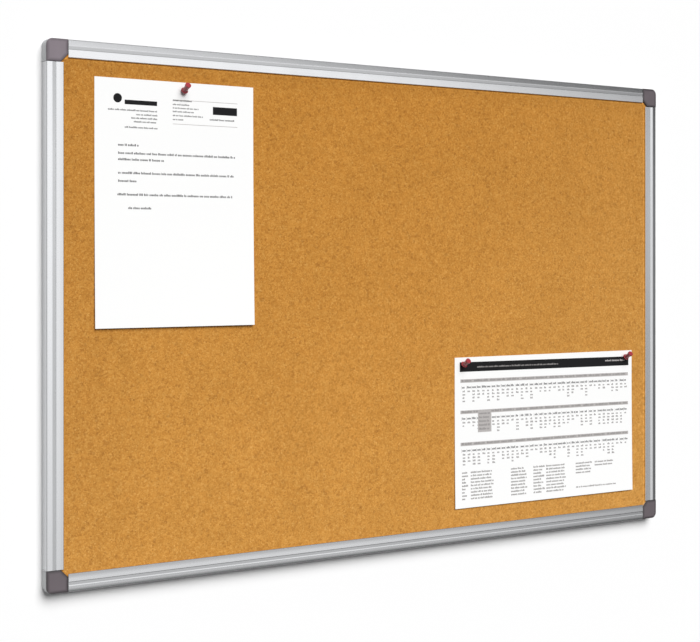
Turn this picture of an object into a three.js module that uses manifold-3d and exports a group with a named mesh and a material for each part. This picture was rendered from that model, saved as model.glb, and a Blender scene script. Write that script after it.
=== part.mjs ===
// A wall-hung cork notice board. Four extruded aluminium rails are joined by moulded corner keys,
// press-fit corner caps cover the wall fixings, and the rails hold a panel of cork on a softboard
// core with a thin backing. Two paper notices hang on the cork from three push pins.
//
// Millimetres. +X is right, +Z is up and the front faces -Y. The wall is the plane y = 0, and the
// origin is the middle of the board on that plane. A depth is a distance forward of the wall.

import * as THREE from "three";
import { mergeVertices } from "three/addons/utils/BufferGeometryUtils.js";
import Module from "manifold-3d";

const wasm = await Module();
wasm.setup();

// Board
const boardWidth = 900;
const boardHeight = 600;
const frameDepth = 14;

// Rails, all cut from one extruded section
const railFace = 20;
const sideWall = 1.4;
const frontWall = 1.4;
const rearWall = 1.2;
const webWall = 1.3;
const chamberWidth = 5.3;
const rearFlangeReach = 16;
const frontEdgeRadius = 1.2;
const rearEdgeRadius = 0.4;
const grooveFromSide = 6.6;
const grooveWidth = 4.5;
const grooveDepth = 0.6;
const grooveWall = 0.4;
const lipFromSide = 14.5;

// Panel, from front to back
const corkThickness = 3;
const coreThickness = 7;
const backingThickness = 0.5;

// Corner keys and the caps on them share one outline, with the rounding of the board's corners
const cornerRadius = 7.5;
const cornerReach = 25;
const cornerChamfer = 8.5;
const cornerChamferRadius = 6;
const cornerEndRadius = 0.5;

// Corner keys
const keyWall = 1.6;
const keyFloor = 3;
const legLength = 28;
const legTipChamfer = 1.2;
const legToothHeight = 0.35;
const legToothLength = 4.5;
const legToothCount = 4;
const fixingFromSide = 11.5;
const fixingSlotWidth = 5.5;
const fixingSlotLength = 10;

// Corner caps
const capPlate = 1.7;
const capProud = 0.1;
const capEdgeRadius = 0.8;
const capCrown = 0.35;
const capCrownReach = 4;
const pegRadius = 1.5;
const pegLength = 8;
const pegTip = 0.7;
const pegFromEnd = 4.1;
const bossWall = 1.2;

// Self-tapping screws that hold the key legs in the rails
const screwHeadRadius = 2.1;
const screwShankRadius = 1.1;
const screwLength = 9.5;
const screwPoint = 1.8;
const screwSink = 0.1;
const screwSetback = 13;
const recessWidth = 0.6;
const recessSpan = 2.5;
const recessDepth = 0.7;

// Notices
const sheetThickness = 0.2;
const letterWidth = 199;
const letterHeight = 277;
const letterFromLeft = 56;
const letterFromTop = 38;
const letterCurl = 2.4;
const calendarWidth = 306;
const calendarHeight = 193;
const calendarFromRight = 45;
const calendarFromBottom = 43;
const calendarCurl = 1.6;
const flatTopBand = 30;

// Push pins
const pinLean = THREE.MathUtils.degToRad(30);
const collarRadius = 4.2;
const collarThickness = 1.1;
const collarShoulder = 2.6;
const gripRadius = 2.9;
const gripTop = 7.4;
const crownRadius = 3.5;
const crownStart = 9.2;
const headHeight = 11.5;
const headEdge = 0.5;
const needleRadius = 0.55;
const needleReach = 10;
const needlePoint = 2;
const needleSeat = 6;
const letterPinFromLeft = 108.6;
const letterPinFromTop = 10.8;
const calendarPinFromSide = 13;
const calendarPinFromTop = 10.5;

// Gaps and overruns
const slipGap = 0.3;
const fitGap = 0.15;
const panelEdgeGap = 0.5;
const cutOverrun = 1;
const leastRadius = 0.1;
const weldTolerance = 0.0001;

// Facets
const edgeSteps = 4;
const cornerSteps = 8;
const sheetSteps = 10;
const pinSteps = 20;
const screwSteps = 14;

// Colours and finishes
const finishes = {
  aluminium: { color: 0xd9dadd, roughness: 0.35, metalness: 0.9 },
  keyPlastic: { color: 0xb9babc, roughness: 0.6, metalness: 0 },
  capPlastic: { color: 0x8a8188, roughness: 0.5, metalness: 0 },
  cork: { color: 0xc78c42, roughness: 0.9, metalness: 0 },
  softboard: { color: 0xb7a27c, roughness: 0.95, metalness: 0 },
  backing: { color: 0x9c8a6c, roughness: 0.9, metalness: 0 },
  screwSteel: { color: 0xb9bcc0, roughness: 0.3, metalness: 1 },
  paper: { color: 0xfafafa, roughness: 0.85, metalness: 0 },
  pinPlastic: { color: 0xb3202c, roughness: 0.3, metalness: 0 },
  pinSteel: { color: 0xc7c9cc, roughness: 0.25, metalness: 1 },
};

// Sizes that follow from the ones above
const webOuter = sideWall + chamberWidth;
const webInner = webOuter + webWall;
const chamberFront = frameDepth - frontWall;
const railSetback = cornerReach + slipGap;
const backingDepth = rearWall + slipGap;
const coreDepth = backingDepth + backingThickness;
const corkDepth = coreDepth + coreThickness;
const corkFront = corkDepth + corkThickness;
const lipUnderside = corkFront + slipGap;
const lipWall = frameDepth - lipUnderside;
const panelInset = webInner + panelEdgeGap;
const capEdgeDepth = frameDepth + capProud;
const capUnderside = capEdgeDepth - capPlate;
const keyTop = capUnderside - slipGap;
const legOuter = sideWall + slipGap;
const legInner = webOuter - slipGap - legToothHeight;
const legRear = rearWall + slipGap;
const legFront = chamberFront - slipGap;
const chamberMiddle = sideWall + chamberWidth / 2;
const socketRadius = pegRadius + slipGap;
const bossRadius = socketRadius + bossWall;
const pegAcross = keyWall + socketRadius;
const pegAlong = cornerReach - pegFromEnd;
const sheetBack = corkFront + fitGap;
const sheetFront = sheetBack + sheetThickness;
const collarLift = collarRadius * Math.tan(pinLean) + slipGap;

const board = new THREE.Group();

// A named mesh in one of the finishes.
function part(name, geometry, finish) {
  const mesh = new THREE.Mesh(geometry, new THREE.MeshStandardMaterial(finishes[finish]));
  mesh.name = name;
  return mesh;
}

// A closed geometry as a solid that can be joined and cut.
function solidOf(geometry) {
  const bare = geometry.clone();
  bare.deleteAttribute("normal");
  bare.deleteAttribute("uv");
  const welded = mergeVertices(bare, weldTolerance);
  const mesh = new wasm.Mesh({
    numProp: 3,
    vertProperties: welded.attributes.position.array,
    triVerts: new Uint32Array(welded.index.array),
  });
  return new wasm.Manifold(mesh);
}

// The geometry of a solid, with flat faces.
function geometryOf(solid) {
  const mesh = solid.getMesh();
  const geometry = new THREE.BufferGeometry();
  geometry.setAttribute("position", new THREE.BufferAttribute(mesh.vertProperties, 3));
  geometry.setIndex(new THREE.BufferAttribute(mesh.triVerts, 1));
  const faceted = geometry.toNonIndexed();
  faceted.computeVertexNormals();
  return faceted;
}

// One geometry from several that overlap.
function joined(geometries) {
  return geometries.map(solidOf).reduce((whole, piece) => whole.add(piece));
}

// A solid with several geometries cut out of it.
function cut(solid, cutters) {
  return cutters.map(solidOf).reduce((rest, cutter) => rest.subtract(cutter), solid);
}

// A flat piece: an outline in the front view (x, z), filled between two depths.
function plate(outline, fromDepth, toDepth) {
  const shape = outline instanceof THREE.Shape ? outline : new THREE.Shape(outline);
  const depth = toDepth - fromDepth;
  const extrusion = { depth, bevelEnabled: false, curveSegments: cornerSteps };
  const geometry = new THREE.ExtrudeGeometry(shape, extrusion);
  geometry.rotateX(Math.PI / 2);
  geometry.translate(0, -fromDepth, 0);
  return geometry;
}

// A turned piece: a closed profile of (radius, height) points, revolved about the Y axis.
function turned(profile, steps) {
  const points = profile.map(([radius, height]) => new THREE.Vector2(radius, height));
  return new THREE.LatheGeometry(points, steps);
}

// The unit normal that points into a counter-clockwise outline from one of its edges.
function inwardNormal(start, end) {
  const along = end.clone().sub(start).normalize();
  return new THREE.Vector2(-along.y, along.x);
}

// A convex counter-clockwise outline with each corner rounded, drawn in from its edges by an inset.
function roundedOutline(corners, radii, inset) {
  const points = [];
  corners.forEach((corner, i) => {
    const before = inwardNormal(corners.at(i - 1), corner);
    const after = inwardNormal(corner, corners[(i + 1) % corners.length]);
    const arcReach = Math.max(radii[i], inset + leastRadius);
    const bisector = before.clone().add(after).divideScalar(1 + before.dot(after));
    const centre = corner.clone().addScaledVector(bisector, arcReach);
    const radius = arcReach - inset;
    const startAngle = Math.atan2(-before.y, -before.x);
    const turn = Math.atan2(before.cross(after), before.dot(after));
    for (let step = 0; step <= cornerSteps; step += 1) {
      const angle = startAngle + (turn * step) / cornerSteps;
      const spoke = new THREE.Vector2(Math.cos(angle), Math.sin(angle));
      points.push(centre.clone().addScaledVector(spoke, radius));
    }
  });
  return points;
}

// The outline that a corner key and its cap share, in a corner frame and drawn in by an inset: a
// square with a rounded outer corner, and a soft chamfer towards the middle of the board.
function cornerOutline(inset) {
  const short = cornerReach - cornerChamfer;
  const corners = [
    new THREE.Vector2(0, 0),
    new THREE.Vector2(0, -cornerReach),
    new THREE.Vector2(short, -cornerReach),
    new THREE.Vector2(cornerReach, -short),
    new THREE.Vector2(cornerReach, 0),
  ];
  const radii = [
    cornerRadius,
    cornerEndRadius,
    cornerChamferRadius,
    cornerChamferRadius,
    cornerEndRadius,
  ];
  return roundedOutline(corners, radii, inset);
}

// A closed body through a stack of outlines with the same number of points, rear one first.
function lofted(levels) {
  const positions = levels.flatMap(({ outline, depth }) => {
    return outline.flatMap((point) => [point.x, -depth, point.y]);
  });
  const count = levels[0].outline.length;
  const indices = [];
  for (let level = 0; level < levels.length - 1; level += 1) {
    for (let i = 0; i < count; i += 1) {
      const rear = level * count + i;
      const rearNext = level * count + ((i + 1) % count);
      indices.push(rear, rearNext, rearNext + count, rear, rearNext + count, rear + count);
    }
  }
  const front = (levels.length - 1) * count;
  THREE.ShapeUtils.triangulateShape(levels[0].outline, []).forEach(([a, b, c]) => {
    indices.push(a, c, b);
  });
  THREE.ShapeUtils.triangulateShape(levels.at(-1).outline, []).forEach(([a, b, c]) => {
    indices.push(front + a, front + b, front + c);
  });
  const geometry = new THREE.BufferGeometry();
  geometry.setAttribute("position", new THREE.Float32BufferAttribute(positions, 3));
  geometry.setIndex(indices);
  return geometry;
}

// The extruded section of a rail, drawn as (depth, distance in from the outer side): a closed
// chamber for the key legs, a channel for the panel, a groove that slopes down across the face to a
// steep inner wall, and a round-nosed lip over the edge of the cork.
function railSection() {
  const lipRadius = lipWall / 2;
  const lipEnd = railFace - lipRadius;
  const lipRoot = lipFromSide - (chamberFront - lipUnderside);
  const grooveFloor = frameDepth - grooveDepth;
  const grooveEnd = grooveFromSide + grooveWidth;
  const section = new THREE.Shape();
  section.moveTo(rearEdgeRadius, 0);
  section.lineTo(frameDepth - frontEdgeRadius, 0);
  section.absarc(frameDepth - frontEdgeRadius, frontEdgeRadius, frontEdgeRadius, -Math.PI / 2, 0, false);
  section.lineTo(frameDepth, grooveFromSide);
  section.lineTo(grooveFloor, grooveEnd - grooveWall);
  section.lineTo(frameDepth, grooveEnd);
  section.lineTo(frameDepth, lipEnd);
  section.absarc(lipUnderside + lipRadius, lipEnd, lipRadius, 0, Math.PI, false);
  section.lineTo(lipUnderside, lipFromSide);
  section.lineTo(chamberFront, lipRoot);
  section.lineTo(chamberFront, webInner);
  section.lineTo(rearWall, webInner);
  section.lineTo(rearWall, rearFlangeReach - rearEdgeRadius);
  section.lineTo(rearWall - rearEdgeRadius, rearFlangeReach);
  section.lineTo(0, rearFlangeReach);
  section.lineTo(0, rearEdgeRadius);
  section.absarc(rearEdgeRadius, rearEdgeRadius, rearEdgeRadius, Math.PI, Math.PI * 1.5, false);

  const chamber = new THREE.Path();
  chamber.moveTo(rearWall, sideWall);
  chamber.lineTo(rearWall, webOuter);
  chamber.lineTo(chamberFront, webOuter);
  chamber.lineTo(chamberFront, sideWall);
  chamber.closePath();
  section.holes.push(chamber);
  return section;
}

// The countersunk hole for a rail screw, its axis along Y and the wall at y = 0.
function countersink() {
  const mouth = screwHeadRadius + screwSink + fitGap;
  const bore = screwShankRadius + fitGap;
  const profile = [
    [0, -rearWall - cutOverrun],
    [bore, -rearWall - cutOverrun],
    [bore, bore - mouth],
    [mouth, 0],
    [mouth, cutOverrun],
    [0, cutOverrun],
  ];
  return turned(profile, screwSteps);
}

// Where a rail's two screws stand, measured along the board's side from its corner.
function screwStations(run) {
  const first = railSetback + screwSetback;
  return [first, run - first];
}

// A rail of a board side of length run, in the frame of the corner that it starts from.
function rail(run) {
  const length = run - 2 * railSetback;
  const extrusion = { depth: length, bevelEnabled: false, curveSegments: edgeSteps };
  const bar = new THREE.ExtrudeGeometry(railSection(), extrusion);
  const forward = new THREE.Vector3(0, -1, 0);
  const inward = new THREE.Vector3(0, 0, -1);
  const along = new THREE.Vector3(1, 0, 0);
  bar.applyMatrix4(new THREE.Matrix4().makeBasis(forward, inward, along));
  bar.translate(railSetback, 0, 0);
  const holes = screwStations(run).map((station) => countersink().translate(station, 0, -chamberMiddle));
  return geometryOf(cut(solidOf(bar), holes));
}

// A countersunk screw with a cross recess, its head flush with the wall side and its point forward.
function railScrew() {
  const top = -screwSink;
  const headDepth = screwHeadRadius - screwShankRadius;
  const profile = [
    [0, -screwLength],
    [screwShankRadius, screwPoint - screwLength],
    [screwShankRadius, top - headDepth],
    [screwHeadRadius, top],
    [0, top],
  ];
  const bars = [0, 1].map((quarter) => {
    const bar = new THREE.BoxGeometry(recessSpan, 2 * recessDepth, recessWidth);
    bar.rotateY((quarter * Math.PI) / 2);
    bar.translate(0, top, 0);
    return bar;
  });
  return geometryOf(cut(solidOf(turned(profile, screwSteps)), bars));
}

// A leg of a corner key, which fills a rail's chamber: (along the rail, in from its outer side).
// Saw teeth on its inner side grip the web of the rail.
function legPoints() {
  const start = cornerReach - keyWall;
  const tip = cornerReach + legLength;
  const points = [
    [start, legOuter],
    [tip - legTipChamfer, legOuter],
    [tip, legOuter + legTipChamfer],
    [tip, legInner - legTipChamfer],
    [tip - legTipChamfer, legInner],
  ];
  for (let tooth = 0; tooth < legToothCount; tooth += 1) {
    const foot = tip - legTipChamfer - tooth * legToothLength;
    points.push([foot - legToothLength, legInner + legToothHeight]);
    points.push([foot - legToothLength, legInner]);
  }
  points.push([start, legInner]);
  return points;
}

// A round-ended slot along X.
function slotShape(x, z, length, width) {
  const radius = width / 2;
  const half = length / 2 - radius;
  const slot = new THREE.Shape();
  slot.absarc(x + half, z, radius, -Math.PI / 2, Math.PI / 2, false);
  slot.absarc(x - half, z, radius, Math.PI / 2, Math.PI * 1.5, false);
  slot.closePath();
  return slot;
}

// The two places of the cap pegs and their sockets, mirrored across the corner's diagonal.
function pegPlaces() {
  return [
    new THREE.Vector2(pegAlong, -pegAcross),
    new THREE.Vector2(pegAcross, -pegAlong),
  ];
}

// A round post at a place in the corner frame, between two depths.
function post(place, radius, fromDepth, toDepth) {
  const geometry = new THREE.CylinderGeometry(radius, radius, toDepth - fromDepth, screwSteps);
  geometry.translate(place.x, -(fromDepth + toDepth) / 2, place.y);
  return geometry;
}

// A corner key: an open box between the ends of two rails, its outer sides flush with them, with a
// slotted floor for the wall screw, sockets for the cap's pegs, and two legs that join the rails.
function cornerKey() {
  const block = plate(cornerOutline(0), 0, keyTop);
  const well = plate(cornerOutline(keyWall), keyFloor, keyTop + cutOverrun);
  const bosses = pegPlaces().map((place) => post(place, bossRadius, 0, keyTop));
  const sockets = pegPlaces().map((place) => {
    return post(place, socketRadius, capUnderside - pegLength - slipGap, keyTop + cutOverrun);
  });
  const slot = plate(
    slotShape(fixingFromSide, -fixingFromSide, fixingSlotLength, fixingSlotWidth),
    -cutOverrun,
    keyFloor + cutOverrun,
  );
  const legs = [
    legPoints().map(([along, across]) => new THREE.Vector2(along, -across)),
    legPoints().map(([along, across]) => new THREE.Vector2(across, -along)),
  ].map((outline) => plate(outline, legRear, legFront));
  const pilots = [
    new THREE.Vector2(railSetback + screwSetback, -chamberMiddle),
    new THREE.Vector2(chamberMiddle, -railSetback - screwSetback),
  ].map((place) => post(place, screwShankRadius + fitGap, 0, screwLength + slipGap));
  const shell = cut(solidOf(block), [well]).add(joined([...bosses, ...legs]));
  return geometryOf(cut(shell, [...sockets, slot, ...pilots]));
}

// A corner cap: a crowned plate over the key, its rim level with the faces of the rails, and two pegs
// that press into the key.
function cornerCap() {
  const level = (inset, depth) => ({ outline: cornerOutline(inset), depth });
  const levels = [level(0, capUnderside)];
  for (let step = 0; step <= edgeSteps; step += 1) {
    const angle = (step / edgeSteps) * (Math.PI / 2);
    const inset = capEdgeRadius * (1 - Math.cos(angle));
    levels.push(level(inset, capEdgeDepth - capEdgeRadius * (1 - Math.sin(angle))));
  }
  levels.push(level(capCrownReach, capEdgeDepth + capCrown));
  const face = lofted(levels);

  const rootDepth = capUnderside + capPlate / 2;
  const pegEnd = pegLength - capUnderside;
  const pegProfile = [
    [0, pegEnd],
    [pegRadius - pegTip, pegEnd],
    [pegRadius, pegEnd - pegTip],
    [pegRadius, -rootDepth],
    [0, -rootDepth],
  ].reverse();
  const pegs = pegPlaces().map((place) => turned(pegProfile, screwSteps).translate(place.x, 0, place.y));
  return geometryOf(joined([face, ...pegs]));
}

// The panel's outline, with its corners cut off where the keys stand.
function panelOutline() {
  const right = boardWidth / 2 - panelInset;
  const top = boardHeight / 2 - panelInset;
  const cornerCut = 2 * (cornerReach + fitGap - panelInset) - cornerChamfer;
  return new THREE.Shape([
    new THREE.Vector2(-right, top - cornerCut),
    new THREE.Vector2(-right, cornerCut - top),
    new THREE.Vector2(cornerCut - right, -top),
    new THREE.Vector2(right - cornerCut, -top),
    new THREE.Vector2(right, cornerCut - top),
    new THREE.Vector2(right, top - cornerCut),
    new THREE.Vector2(right - cornerCut, top),
    new THREE.Vector2(cornerCut - right, top),
  ]);
}

// The two notices: each has its left and top edge, its size, the lift of its lower edge off the
// cork, and the places (x, z) of the pins that hold it.
const letterLeft = letterFromLeft - boardWidth / 2;
const letterTop = boardHeight / 2 - letterFromTop;
const calendarLeft = boardWidth / 2 - calendarFromRight - calendarWidth;
const calendarTop = calendarFromBottom + calendarHeight - boardHeight / 2;
const notices = [
  {
    name: "letter",
    left: letterLeft,
    top: letterTop,
    width: letterWidth,
    height: letterHeight,
    curl: letterCurl,
    pins: [
      { name: "letter_pin", x: letterLeft + letterPinFromLeft, z: letterTop - letterPinFromTop },
    ],
  },
  {
    name: "calendar",
    left: calendarLeft,
    top: calendarTop,
    width: calendarWidth,
    height: calendarHeight,
    curl: calendarCurl,
    pins: [
      {
        name: "calendar_left_pin",
        x: calendarLeft + calendarPinFromSide,
        z: calendarTop - calendarPinFromTop,
      },
      {
        name: "calendar_right_pin",
        x: calendarLeft + calendarWidth - calendarPinFromSide,
        z: calendarTop - calendarPinFromTop,
      },
    ],
  },
];

// A group whose Y axis runs out along a leaning pin, from where its needle enters the sheet.
function pinFrame(pin) {
  const frame = new THREE.Group();
  frame.position.set(pin.x, -sheetFront, pin.z);
  frame.rotation.x = Math.PI - pinLean;
  frame.updateMatrix();
  return frame;
}

// The hole that a pin's needle makes, in the board's frame.
function needleHole(pin) {
  const length = needleReach + 2 * cutOverrun;
  const radius = needleRadius + slipGap;
  const hole = new THREE.CylinderGeometry(radius, radius, length, screwSteps);
  hole.translate(0, collarLift + cutOverrun - length / 2, 0);
  hole.applyMatrix4(pinFrame(pin).matrix);
  return hole;
}

// The plastic head of a push pin: a broad collar, a waisted grip, and a crown with a rounded edge.
function pinHead() {
  const seat = needleRadius + fitGap;
  const outline = new THREE.Path();
  outline.moveTo(seat, 0);
  outline.lineTo(collarRadius - headEdge, 0);
  outline.quadraticCurveTo(collarRadius, 0, collarRadius, headEdge);
  outline.lineTo(collarRadius, collarThickness - headEdge);
  outline.quadraticCurveTo(collarRadius, collarThickness, collarRadius - headEdge, collarThickness);
  outline.quadraticCurveTo(gripRadius, collarThickness, gripRadius, collarShoulder);
  outline.lineTo(gripRadius, gripTop);
  outline.quadraticCurveTo(gripRadius, crownStart, crownRadius, crownStart);
  outline.lineTo(crownRadius, headHeight - headEdge);
  outline.quadraticCurveTo(crownRadius, headHeight, crownRadius - headEdge, headHeight);
  outline.lineTo(0, headHeight);
  outline.lineTo(0, needleSeat + slipGap);
  outline.lineTo(seat, needleSeat + slipGap);
  const profile = outline.getPoints(edgeSteps).map((point) => [point.x, collarLift + point.y]);
  return turned([...profile, [seat, collarLift]], pinSteps);
}

// The steel needle of a push pin, from its seat in the head to its point in the core.
function pinNeedle() {
  const tip = collarLift - needleReach;
  const profile = [
    [0, tip],
    [needleRadius, tip + needlePoint],
    [needleRadius, collarLift + needleSeat],
    [0, collarLift + needleSeat],
  ];
  return turned(profile, screwSteps);
}

// A paper notice: flat against the cork behind its pins, its lower edge curling a little forward.
function sheet(notice) {
  const bend = notice.height - flatTopBand;
  const spine = [];
  for (let step = 0; step <= sheetSteps; step += 1) {
    const share = step / sheetSteps;
    spine.push({ forward: notice.curl * share * share, z: notice.top - flatTopBand - bend * share });
  }
  const profile = [
    new THREE.Vector2(sheetBack, notice.top),
    ...spine.map(({ forward, z }) => new THREE.Vector2(sheetBack + forward, z)),
    ...spine.toReversed().map(({ forward, z }) => new THREE.Vector2(sheetFront + forward, z)),
    new THREE.Vector2(sheetFront, notice.top),
  ];
  const extrusion = { depth: notice.width, bevelEnabled: false };
  const leaf = new THREE.ExtrudeGeometry(new THREE.Shape(profile), extrusion);
  const forward = new THREE.Vector3(0, -1, 0);
  const upward = new THREE.Vector3(0, 0, 1);
  const leftward = new THREE.Vector3(-1, 0, 0);
  leaf.applyMatrix4(new THREE.Matrix4().makeBasis(forward, upward, leftward));
  leaf.translate(notice.left + notice.width, 0, 0);
  return geometryOf(cut(solidOf(leaf), notice.pins.map(needleHole)));
}

// Corner frames: each has its origin at an outer corner of the board, with +X along one side and
// -Z along the next, so one set of shapes serves all four corners. Each frame also carries the rail
// that starts at its corner.
const cornerFrames = [
  { corner: "top_left", side: "top", x: -boardWidth / 2, z: boardHeight / 2, run: boardWidth },
  { corner: "top_right", side: "right", x: boardWidth / 2, z: boardHeight / 2, run: boardHeight },
  { corner: "bottom_right", side: "bottom", x: boardWidth / 2, z: -boardHeight / 2, run: boardWidth },
  { corner: "bottom_left", side: "left", x: -boardWidth / 2, z: -boardHeight / 2, run: boardHeight },
];

cornerFrames.forEach(({ corner, side, x, z, run }, quarter) => {
  const frame = new THREE.Group();
  frame.position.set(x, 0, z);
  frame.rotation.y = (quarter * Math.PI) / 2;
  frame.add(part(`${side}_rail`, rail(run), "aluminium"));
  frame.add(part(`corner_key_${corner}`, cornerKey(), "keyPlastic"));
  frame.add(part(`corner_cap_${corner}`, cornerCap(), "capPlastic"));
  screwStations(run).forEach((station, end) => {
    const screw = part(`${side}_rail_screw_${end + 1}`, railScrew(), "screwSteel");
    screw.position.set(station, 0, -chamberMiddle);
    frame.add(screw);
  });
  board.add(frame);
});

// The panel, its layers glued face to face.
const holes = notices.flatMap((notice) => notice.pins.map(needleHole));
const core = plate(panelOutline(), coreDepth, corkDepth);
const cork = plate(panelOutline(), corkDepth, corkFront);
board.add(part("backing_sheet", plate(panelOutline(), backingDepth, coreDepth), "backing"));
board.add(part("softboard_core", geometryOf(cut(solidOf(core), holes)), "softboard"));
board.add(part("cork_sheet", geometryOf(cut(solidOf(cork), holes)), "cork"));

// The notices and their pins.
notices.forEach((notice) => {
  board.add(part(`${notice.name}_sheet`, sheet(notice), "paper"));
  notice.pins.forEach((pin) => {
    const frame = pinFrame(pin);
    frame.add(part(`${pin.name}_head`, pinHead(), "pinPlastic"));
    frame.add(part(`${pin.name}_needle`, pinNeedle(), "pinSteel"));
    board.add(frame);
  });
});

export default board;
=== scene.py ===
"""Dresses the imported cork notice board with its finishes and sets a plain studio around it.

Sizes of the board are in millimetres and become metres where a mesh is made. The axes are those of
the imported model: +X is right, +Z is up, the front faces -Y, and the wall is the plane y = 0. A
depth is a distance forward of the wall.
"""

import logging
import math
import random
from dataclasses import dataclass, field, replace
from enum import Enum
from typing import Callable, Iterable, Sequence, Union

import bmesh
import bpy
from mathutils import Matrix, Vector
from mathutils.geometry import tessellate_polygon


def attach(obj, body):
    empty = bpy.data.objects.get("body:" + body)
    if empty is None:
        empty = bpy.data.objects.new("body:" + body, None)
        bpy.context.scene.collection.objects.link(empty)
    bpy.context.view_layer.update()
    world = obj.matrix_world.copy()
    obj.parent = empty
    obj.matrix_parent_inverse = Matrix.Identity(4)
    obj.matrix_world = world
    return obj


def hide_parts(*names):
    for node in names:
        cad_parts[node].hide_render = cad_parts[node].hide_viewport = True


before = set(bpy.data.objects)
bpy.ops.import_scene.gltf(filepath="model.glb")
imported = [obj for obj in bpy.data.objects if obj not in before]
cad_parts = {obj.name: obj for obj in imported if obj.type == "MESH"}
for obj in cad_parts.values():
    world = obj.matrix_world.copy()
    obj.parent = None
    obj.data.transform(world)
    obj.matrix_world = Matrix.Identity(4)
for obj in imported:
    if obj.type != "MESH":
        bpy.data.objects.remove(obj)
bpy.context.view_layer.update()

log = logging.getLogger("notice_board")

MM = 0.001
BOARD_WIDTH = 900.0
BOARD_HEIGHT = 600.0
HALF_WIDTH = BOARD_WIDTH / 2
HALF_HEIGHT = BOARD_HEIGHT / 2
FRAME_DEPTH = 14.0
CORK_FRONT = 12.0
SLIP_GAP = 0.3
FIT_GAP = 0.15
SHEET_THICKNESS = 0.2
SHEET_BACK = CORK_FRONT + FIT_GAP
SHEET_FRONT = SHEET_BACK + SHEET_THICKNESS
RAIL_SETBACK = 25.3
SCREW_SETBACK = 13.0
SCREW_ACROSS = 4.05
CORNER_RADIUS = 7.5
PIN_LEAN = 30.0
ROUND_EDGES = 40.0

Colour = tuple[float, float, float]
Point = tuple[float, float]
Band = tuple[float, float]
Corner = tuple[float, float, float]
Place = tuple[float, float, float]
Stops = Sequence[tuple[float, Colour]]
Feed = Union[bpy.types.NodeSocket, float, Sequence[float]]


class Run(Enum):
    """The way an extruded rail runs, which is the way its die lines run too."""

    LEVEL = "x"
    UPRIGHT = "z"


class Way(Enum):
    """What is done with one solid and another."""

    JOIN = "UNION"
    CUT = "DIFFERENCE"


class Lamp(Enum):
    """The kinds of lamp in the studio."""

    EVEN = "SUN"
    PANEL = "AREA"


class Weight(Enum):
    """How dark a printed mark is."""

    BLACK = "black"
    GREY = "grey"
    DIM = "dim"
    PALE = "pale"


# Shapes


@dataclass
class Form:
    """The points and faces of one mesh, in millimetres."""

    points: list[Vector] = field(default_factory=list)
    faces: list[tuple[int, ...]] = field(default_factory=list)

    def moved(self, matrix: Matrix) -> "Form":
        """A copy with each point moved by a matrix."""
        return Form([matrix @ point for point in self.points], list(self.faces))

    def add_sheet(
        self, place: Callable[[float, float, float], Vector],
        xs: Sequence[float], zs: Sequence[float], lifts: Band,
    ) -> None:
        """Adds a thin closed sheet that follows a grid.

        Args:
            place: Gives the point of one (x, z, lift).
            xs: Where the grid's columns stand.
            zs: Where its rows stand.
            lifts: How far forward the rear and the front layer lie.
        """
        start = len(self.points)
        for lift in lifts:
            self.points.extend(place(x, z, lift) for z in zs for x in xs)
        columns, rows = len(xs) - 1, len(zs) - 1
        layer = len(xs) * len(zs)

        def at(row: int, column: int) -> int:
            """The number of one point of the rear layer."""
            return start + row * len(xs) + column

        for row in range(rows):
            for column in range(columns):
                near = (at(row, column), at(row, column + 1))
                face = (*near, at(row + 1, column + 1), at(row + 1, column))
                self.faces.append(face)
                self.faces.append(tuple(layer + i for i in reversed(face)))
        rim = [at(0, column) for column in range(columns)]
        rim += [at(row, columns) for row in range(rows)]
        rim += [at(rows, column) for column in range(columns, 0, -1)]
        rim += [at(row, 0) for row in range(rows, 0, -1)]
        for here, beside in zip(rim, rim[1:] + rim[:1]):
            self.faces.append((here, beside, layer + beside, layer + here))

    def made(self, name: str) -> bpy.types.Object:
        """Makes the form into an object at the origin, in metres.

        Args:
            name: The name of the object and its mesh.

        Returns:
            The new object, its faces turned outwards.
        """
        mesh = bpy.data.meshes.new(name)
        mesh.from_pydata([point * MM for point in self.points], [], self.faces)
        shell = bmesh.new()
        shell.from_mesh(mesh)
        bmesh.ops.recalc_face_normals(shell, faces=shell.faces)
        shell.to_mesh(mesh)
        shell.free()
        made = bpy.data.objects.new(name, mesh)
        bpy.context.scene.collection.objects.link(made)
        return made


def spread(start: float, length: float, steps: int) -> list[float]:
    """Even places over a length, its two ends among them."""
    return [start + length * step / steps for step in range(steps + 1)]


def rectangle(low: Point, high: Point) -> list[Point]:
    """The corners of a rectangle, in turn."""
    return [low, (high[0], low[1]), high, (low[0], high[1])]


def rounded(corners: Sequence[Corner], steps: int) -> list[Point]:
    """Rounds the corners of an outline.

    Args:
        corners: The corners as (u, v, radius).
        steps: How many pieces each rounded corner has.

    Returns:
        The outline's points as (u, v).
    """
    outline: list[Point] = []
    for i, (u, v, radius) in enumerate(corners):
        corner = Vector((u, v))
        if radius <= 0:
            outline.append((u, v))
            continue
        before = (Vector(corners[i - 1][:2]) - corner).normalized()
        after = (Vector(corners[(i + 1) % len(corners)][:2]) - corner).normalized()
        half = before.angle(after) / 2
        centre = corner + (before + after).normalized() * (radius / math.sin(half))
        start = corner + before * (radius / math.tan(half)) - centre
        end = corner + after * (radius / math.tan(half)) - centre
        turn = math.atan2(start.x * end.y - start.y * end.x, start.dot(end))
        for step in range(steps + 1):
            spoke = Matrix.Rotation(turn * step / steps, 2) @ start
            outline.append(tuple(centre + spoke))
    return outline


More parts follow.
